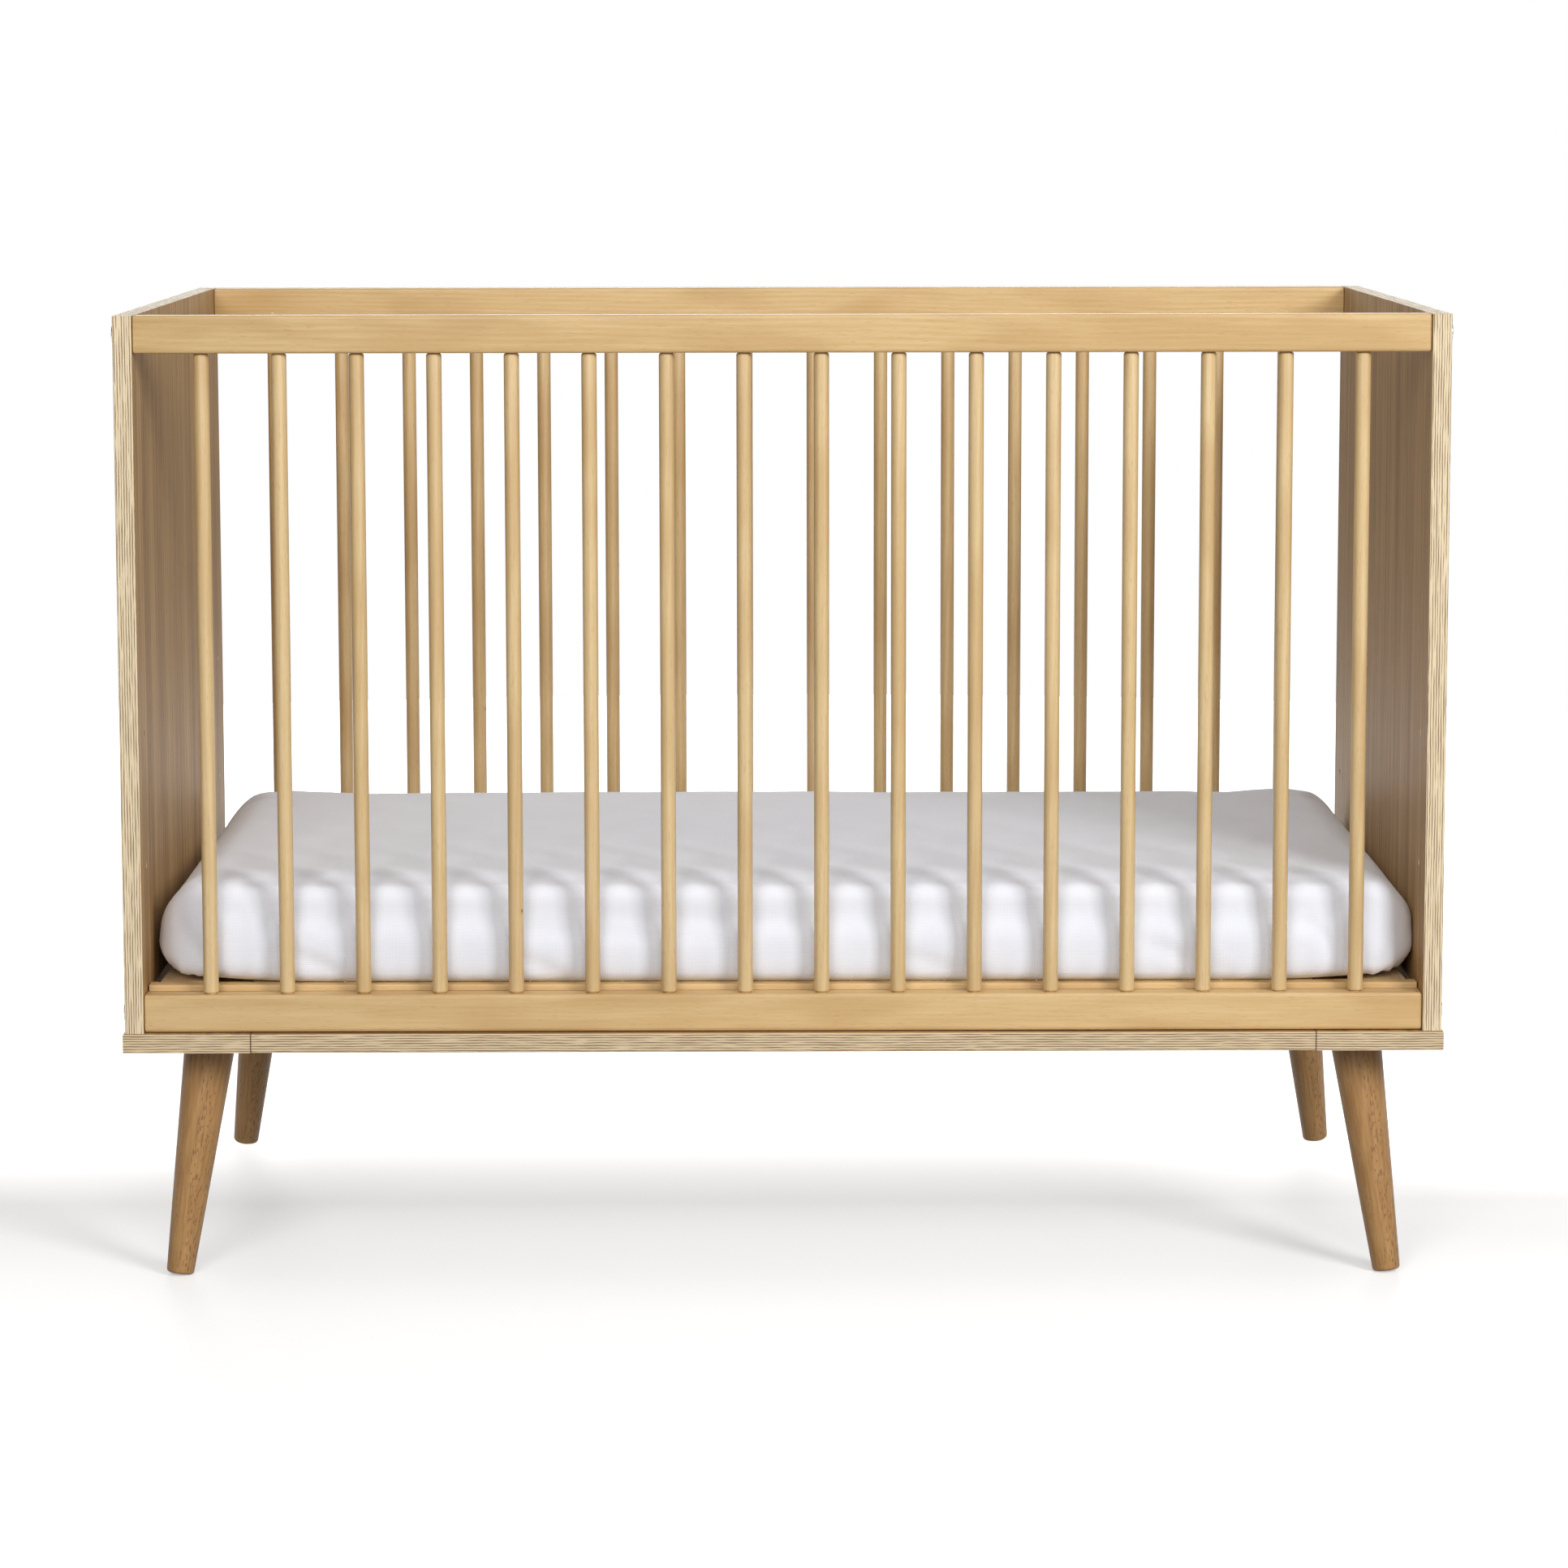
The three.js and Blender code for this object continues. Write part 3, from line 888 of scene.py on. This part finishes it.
def base_rail_cutters(inner_y, inward, bolt):
    """Housings along the inner top edge, and a slot at each end that is open below."""
    cutters = []
    for start in slat_starts:
        y_pair = sorted((inner_y - inward * HOUSING, inner_y + inward * CUT_SPARE))
        low = Vector((start - HOUSING_PLAY, y_pair[0], base_high.z - SLAT_THICKNESS))
        high = Vector((start + SLAT_WIDTH + HOUSING_PLAY, y_pair[1], base_high.z + CUT_SPARE))
        cutters.append(add_block("housing", low, high))
    top = bolt.z + HOOK_WIDTH / 2
    for end_x, way in ((base_low.x, 1), (base_high.x, -1)):
        x_pair = sorted((end_x - way * CUT_SPARE, end_x + way * HOOK_DEPTH))
        low = Vector((x_pair[0], bolt.y - HOOK_WIDTH / 2, base_low.z - CUT_SPARE))
        high = Vector((x_pair[1], bolt.y + HOOK_WIDTH / 2, top))
        cutters.append(add_block("hook", low, high))
    return join(cutters, "base_rail_cutters")


def make_base_rail(side):
    inward = 1 if side == "front" else -1
    outer_y = base_low.y if side == "front" else base_high.y
    inner_y = outer_y + inward * BASE_RAIL_THICKNESS
    y_pair = sorted((outer_y, inner_y))
    low = Vector((base_low.x, y_pair[0], base_low.z))
    high = Vector((base_high.x, y_pair[1], base_high.z))
    rail = add_block(f"base_rail_{side}", low, high)
    pick(rail, "EDGE", along_x)
    bpy.ops.mesh.bevel(offset=BASE_RAIL_ARRIS, segments=3, affect="EDGES")
    bolt = centre(f"support_bolt_{side}_left")
    cut_away(rail, [base_rail_cutters(inner_y, inward, bolt)])
    smooth(rail)
    settle(rail, "mattress_base", "slat_wood", rail_beech, "mattress_base")
    return rail


for side in SIDES:
    rail = make_base_rail(side)
    print(rail.name, len(rail.data.polygons), "faces")

slat_half = (base_high.y - base_low.y) / 2 - BASE_RAIL_THICKNESS + HOUSING - HOUSING_PLAY
slat_low = Vector((slat_starts[0], -slat_half, base_high.z - SLAT_THICKNESS))
slat_high = Vector((slat_starts[0] + SLAT_WIDTH, slat_half, base_high.z))
first_slat = add_block("slat_01", slat_low, slat_high)
pick(first_slat, "EDGE", lambda edge: abs(edge.verts[0].co.y - edge.verts[1].co.y) > 0.1)
bpy.ops.mesh.bevel(offset=SLAT_ARRIS, segments=4, affect="EDGES")
smooth(first_slat)
for number in range(1, SLATS):
    slat = copy_moved(first_slat, f"slat_{number + 1:02d}", Vector((slat_pitch * number, 0, 0)))
    settle(slat, "mattress_base", "slat_wood", slat_beech, "mattress_base")
settle(first_slat, "mattress_base", "slat_wood", slat_beech, "mattress_base")
print("slats every", round(slat_pitch, 3), "m")

# %% [markdown]
# ## Mattress core
# The core is a block of foam in a thin cotton cover. It fills its sheet, so its faces swell a little
# and its edges stay soft. A plain rounded block would look machined, so the block starts slightly
# small and is blown up by a cloth simulation with air pressure inside. How far a point may travel is
# capped, because foam is firm, and the underside stays flat where it lies on the slats. It is then
# stretched until it presses on both end panels, which makes it a little longer than its frame piece.

# %% Core: rounded block, remesh and pressure
CORE_SMALLER = 0.004
CORE_CORNER = 0.055
FRONT_EDGE = 0.008          # rounding of the long top edges
END_EDGE = 0.048            # rounding of the short top edges
LOWER_EDGE = 0.005
LOWER_END_EDGE = 0.030
CORE_VOXEL = 0.0105
UNDERSIDE_LIFT = 0.0014     # room for the sheet under the core
SWELL_CAP = 0.0045
SWELL_PRESSURE = 3
SWELL_FRAMES = 20
CORE_REACH = (0.6030, 0.2965)   # half length and half width that the swollen core is stretched to
PRESSED_AT = 0.5992             # the end panels press the core flat at this distance
SHEET_PRESSED_AT = 0.6010
CORNER_CURL = 0.012         # how far the elastic pulls the lower corners up
CORNER_REACH = 0.16

mattress_low, mattress_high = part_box("mattress")
core_low = mattress_low + Vector((CORE_SMALLER, CORE_SMALLER, UNDERSIDE_LIFT))
core_high = mattress_high - Vector((CORE_SMALLER, CORE_SMALLER, CORE_SMALLER))
mattress_middle = (mattress_low + mattress_high) / 2


def between(value, low, high):
    return min(max(value, low), high)


def squared(place):
    """The nearest point of the cut foam: wide upright corners, rounded ends and tight long edges."""
    inner = Vector((
        between(place.x, core_low.x + CORE_CORNER, core_high.x - CORE_CORNER),
        between(place.y, core_low.y + CORE_CORNER, core_high.y - CORE_CORNER),
        place.z,
    ))
    out = place - inner
    if out.length < 1e-6:
        inner.z = core_high.z if place.z > mattress_middle.z else core_low.z
        return inner
    endwise = (out.x / out.length) ** 2
    edge = LOWER_EDGE + (LOWER_END_EDGE - LOWER_EDGE) * endwise
    if place.z > mattress_middle.z:
        edge = FRONT_EDGE + (END_EDGE - FRONT_EDGE) * endwise
    heart = inner + out * min(1, (CORE_CORNER - edge) / out.length)
    heart.z = between(place.z, core_low.z + edge, core_high.z - edge)
    away = place - heart
    return heart + away * (edge / max(away.length, 1e-6))


def upright(edge):
    return abs(edge.verts[0].co.z - edge.verts[1].co.z) > 0.01


core = add_block("mattress_core", core_low, core_high)
pick(core, "EDGE", upright)
bpy.ops.mesh.bevel(offset=CORE_CORNER, segments=8, affect="EDGES")
select_nothing()
remesh = core.modifiers.new("remesh", "REMESH")
remesh.mode = "VOXEL"
remesh.voxel_size = CORE_VOXEL
finer = core.modifiers.new("finer", "SUBSURF")
finer.subdivision_type = "SIMPLE"
finer.levels = 1
apply_modifiers(core)
for point in core.data.vertices:
    point.co = squared(point.co)
print("core block", len(core.data.polygons), "faces")


# %% Swell the core
def swell(piece, cap):
    """Blows a closed mesh up for a few frames. The underside is held, and travel levels off at cap."""
    start = [v.co.copy() for v in piece.data.vertices]
    lying = [v.index for v in piece.data.vertices if v.co.z < core_low.z + 0.002]
    piece.vertex_groups.new(name="underside").add(lying, 1.0, "REPLACE")
    cloth = piece.modifiers.new("swell", "CLOTH")
    cloth.settings.vertex_group_mass = "underside"
    cloth.settings.quality = 5
    cloth.settings.use_pressure = True
    cloth.settings.uniform_pressure_force = SWELL_PRESSURE
    cloth.settings.effector_weights.gravity = 0
    scene = bpy.context.scene
    for number in range(1, SWELL_FRAMES + 1):
        scene.frame_set(number)
    apply_modifiers(piece)
    scene.frame_set(1)
    for point, old in zip(piece.data.vertices, start):
        move = point.co - old
        if move.length > 0:
            point.co = old + move * (cap * math.tanh(move.length / cap) / move.length)


def stretch_to(piece, half_length, half_width):
    """Swelling draws the ends in, so the core is stretched back until it meets the end panels."""
    long_now = max(abs(v.co.x) for v in piece.data.vertices)
    wide_now = max(abs(v.co.y) for v in piece.data.vertices)
    shares = (half_length / long_now, half_width / wide_now, 1, 1)
    piece.data.transform(Matrix.Diagonal(shares))
    for point in piece.data.vertices:
        point.co.x = between(point.co.x, -PRESSED_AT, PRESSED_AT)
    print("stretched by", [round(share, 4) for share in shares[:2]])


def curl_corners(piece):
    """Lifts the underside near the four corners, where the sheet's elastic pulls."""
    for point in piece.data.vertices:
        gap_x = min(point.co.x - mattress_low.x, mattress_high.x - point.co.x)
        gap_y = min(point.co.y - mattress_low.y, mattress_high.y - point.co.y)
        near_x = max(0, 1 - gap_x / CORNER_REACH) ** 2
        near_y = max(0, 1 - gap_y / CORNER_REACH) ** 2
        lowness = max(0, (mattress_middle.z - point.co.z) / (mattress_middle.z - mattress_low.z))
        point.co.z += CORNER_CURL * near_x * near_y * lowness


swell(core, SWELL_CAP)
stretch_to(core, *CORE_REACH)
curl_corners(core)
print("core z", round(min(v.co.z for v in core.data.vertices), 4))

# %% [markdown]
# ## Fitted sheet
# A fitted sheet is a cap of stretchy jersey: it covers the top and the sides, turns under the edge,
# and ends in a gathered elastic hem. It is cut from the core's own skin, moved out by a hair, and
# opened underneath. Its life is in small folds: soft waves on top, a few creases where it is pulled,
# and gathers low on the sides that are strongest near the corners. They are placed here: a second
# simulation could make folds too, but not where this sheet has them.

# %% Sheet shape
SHEET_GAP = 0.0004
SHEET_THICKNESS = 0.0007
TURN_UNDER = 0.09
GATHER_PITCH = 0.024
GATHER_REACH = 0.05
TOP_WAVE = 0.0013
SIDE_WAVE = 0.0012
SHEET_EASE = 0.0022         # the cloth's usual distance from the core
DEEPEST = 0.0018            # a crease never reaches the core
CORNER_SPAN = 0.12          # the gathers fade away from the corners over this distance
GATHER_DEPTH = 0.0004
CORNER_GATHER_DEPTH = 0.0016
FRONT_LIFT = 0.0006         # the front stands off this much between its creases


def crease(start, end, depth, width):
    """A shallow fold on the front, from one point to another, given as lengthways place and height."""
    return Vector(start), Vector(end), depth, width


front_creases = (
    crease((-0.26, 0.336), (-0.06, 0.331), 0.0024, 0.008),
    crease((-0.17, 0.347), (0.03, 0.343), 0.0018, 0.008),
    crease((-0.47, 0.318), (-0.40, 0.290), 0.0028, 0.007),
    crease((-0.25, 0.312), (-0.19, 0.286), 0.0028, 0.007),
    crease((0.10, 0.316), (0.19, 0.292), 0.0022, 0.008),
    crease((0.33, 0.330), (0.42, 0.296), 0.0022, 0.008),
    crease((0.50, 0.345), (0.545, 0.290), 0.0032, 0.007),
    crease((0.530, 0.338), (0.560, 0.288), 0.0030, 0.006),
    crease((-0.565, 0.338), (-0.545, 0.292), 0.0028, 0.007),
)


def crease_depth(x, z):
    total = 0
    for start, end, depth, width in front_creases:
        line = end - start
        share = (Vector((x, z)) - start).dot(line) / line.length_squared
        share = min(1, max(0, share))
        gap = (Vector((x, z)) - start - line * share).length
        fade = math.sin(math.pi * (0.15 + 0.7 * share))
        total += depth * fade * math.exp(-(gap / width) ** 2)
    return total


def sheet_relief(place, normal):
    """How far the cloth stands off its smooth shape, along its normal."""
    gap_x = min(place.x - mattress_low.x, mattress_high.x - place.x)
    gap_y = min(place.y - mattress_low.y, mattress_high.y - place.y)
    wave = noise.noise(place * 5.5) * 0.6 + noise.noise(place * 13) * 0.4
    upward = max(0, normal.z)
    relief = wave * (TOP_WAVE * upward + SIDE_WAVE * (1 - upward))
    height = place.z - mattress_low.z
    lowness = max(0, 1 - height / GATHER_REACH)
    run = place.x if gap_y < gap_x else place.y
    corner = math.exp(-((gap_x + gap_y) / CORNER_SPAN) ** 2)
    phase = run / GATHER_PITCH * 2 * math.pi + 2.5 * noise.noise(place * 9)
    relief += math.sin(phase) * lowness ** 2 * (GATHER_DEPTH + CORNER_GATHER_DEPTH * corner)
    if normal.y < -0.4:
        relief -= crease_depth(place.x, place.z) - FRONT_LIFT
    return max(relief, -DEEPEST)


sheet = copy_moved(core, "fitted_sheet", Vector((0, 0, 0)))


def under_middle(face):
    """A face on the underside, further in than the cloth turns under."""
    place = face.calc_center_median()
    gap_x = min(place.x - mattress_low.x, mattress_high.x - place.x)
    gap_y = min(place.y - mattress_low.y, mattress_high.y - place.y)
    return face.normal.z < -0.8 and min(gap_x, gap_y) > TURN_UNDER


pick(sheet, "FACE", under_middle)
bpy.ops.mesh.delete(type="FACE")
select_nothing()
outward = [v.normal.copy() for v in sheet.data.vertices]
for point, normal in zip(sheet.data.vertices, outward):
    lift = SHEET_GAP
    if normal.z > -0.8:
        lift += SHEET_EASE + sheet_relief(point.co, normal)
    point.co += normal * lift
    point.co.x = between(point.co.x, -SHEET_PRESSED_AT, SHEET_PRESSED_AT)
print("sheet", len(sheet.data.polygons), "faces")

# %% Elastic hem
HEM_RADIUS = 0.0016
HEM_FLATNESS = 0.35
HEM_RIPPLE = 0.0012
HEM_RIPPLE_PITCH = 0.014

pick(sheet, "EDGE", lambda edge: edge.is_boundary)
bpy.ops.mesh.duplicate()
bpy.ops.mesh.separate(type="SELECTED")
select_nothing()
hem = [o for o in bpy.data.objects if o.name.startswith("fitted_sheet.")][0]
hem.name = "sheet_elastic"
hem.select_set(True)
bpy.context.view_layer.objects.active = hem
bpy.ops.object.convert(target="CURVE")
hem.data.bevel_depth = HEM_RADIUS
hem.data.bevel_resolution = 2
bpy.ops.object.convert(target="MESH")
hem_z = sum(v.co.z for v in hem.data.vertices) / len(hem.data.vertices)
for point in hem.data.vertices:
    ripple = HEM_RIPPLE * math.sin((point.co.x + point.co.y) * 2 * math.pi / HEM_RIPPLE_PITCH)
    point.co.z = hem_z + (point.co.z - hem_z) * HEM_FLATNESS
    point.co.x += ripple * 0.5
    point.co.y += ripple * 0.5
smooth(hem, 60)
print("hem", len(hem.data.polygons), "faces")

# %% Give the sheet its thickness
wall = sheet.modifiers.new("wall", "SOLIDIFY")
wall.thickness = SHEET_THICKNESS
wall.offset = 1
apply_modifiers(sheet)
smooth(sheet, 60)
smooth(core, 60)
print("sheet", len(sheet.data.polygons), "core", len(core.data.polygons), "faces")


# %% [markdown]
# ## Cloth finishes
# Jersey is a fine knit: upright columns of loops about a millimetre wide, soft to the light. The loops
# are two sine waves crossed, read along the way each face runs, with a slight cloudiness in the colour.
# The core's cover is a plain woven cotton, a little darker.


# %% Jersey, cover and elastic
def cloth_finish(name, pale, dark, pitch, depth):
    cloth = Finish(name, Sheen_Weight=0.25, Sheen_Roughness=0.5, Specular_IOR_Level=0.15)
    (run, rise, _), _ = facing(cloth, ("yzx", "xzy", "xyz"))
    tangle = cloth.noise(cloth.place(), scale=420, detail=2.0)
    loops = (run * (2 * math.pi / pitch) + tangle * 1.5).math("SINE")
    rows = (rise * (2 * math.pi / (pitch * 1.3)) + tangle * 1.5).math("SINE")
    knit = (loops + rows) * 0.25 + 0.5
    cloud = cloth.noise(cloth.place(), scale=14, detail=2.0)
    tone = cloud * 0.6 + knit * 0.3 + tangle * 0.1
    colour = cloth.ramp(tone, (0.3, dark), (0.7, pale))
    slubs = cloth.noise(cloth.vector(run * 70, rise * 800, 0.0), detail=2.0)
    height = knit * 0.5 + tangle * 0.3 + slubs * 0.5
    return cloth.finish(colour, 0.86 + knit * 0.08, height, depth)


jersey = cloth_finish("white_jersey", (0.84, 0.86, 0.925), (0.80, 0.82, 0.89), 0.0014, 0.00022)
ticking = cloth_finish("cotton_cover", (0.80, 0.78, 0.72), (0.72, 0.70, 0.64), 0.0018, 0.0002)
elastic = cloth_finish("white_elastic", (0.84, 0.83, 0.85), (0.74, 0.73, 0.76), 0.0030, 0.0005)

settle(core, "mattress", "sheet", ticking, "mattress")
settle(sheet, "mattress", "sheet", jersey, "mattress")
settle(hem, "mattress", "sheet", elastic, "mattress")

# %% Print the model's box
bpy.context.view_layer.update()
low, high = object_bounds()
print("model box", [round(v, 3) for v in (*low, *high)])
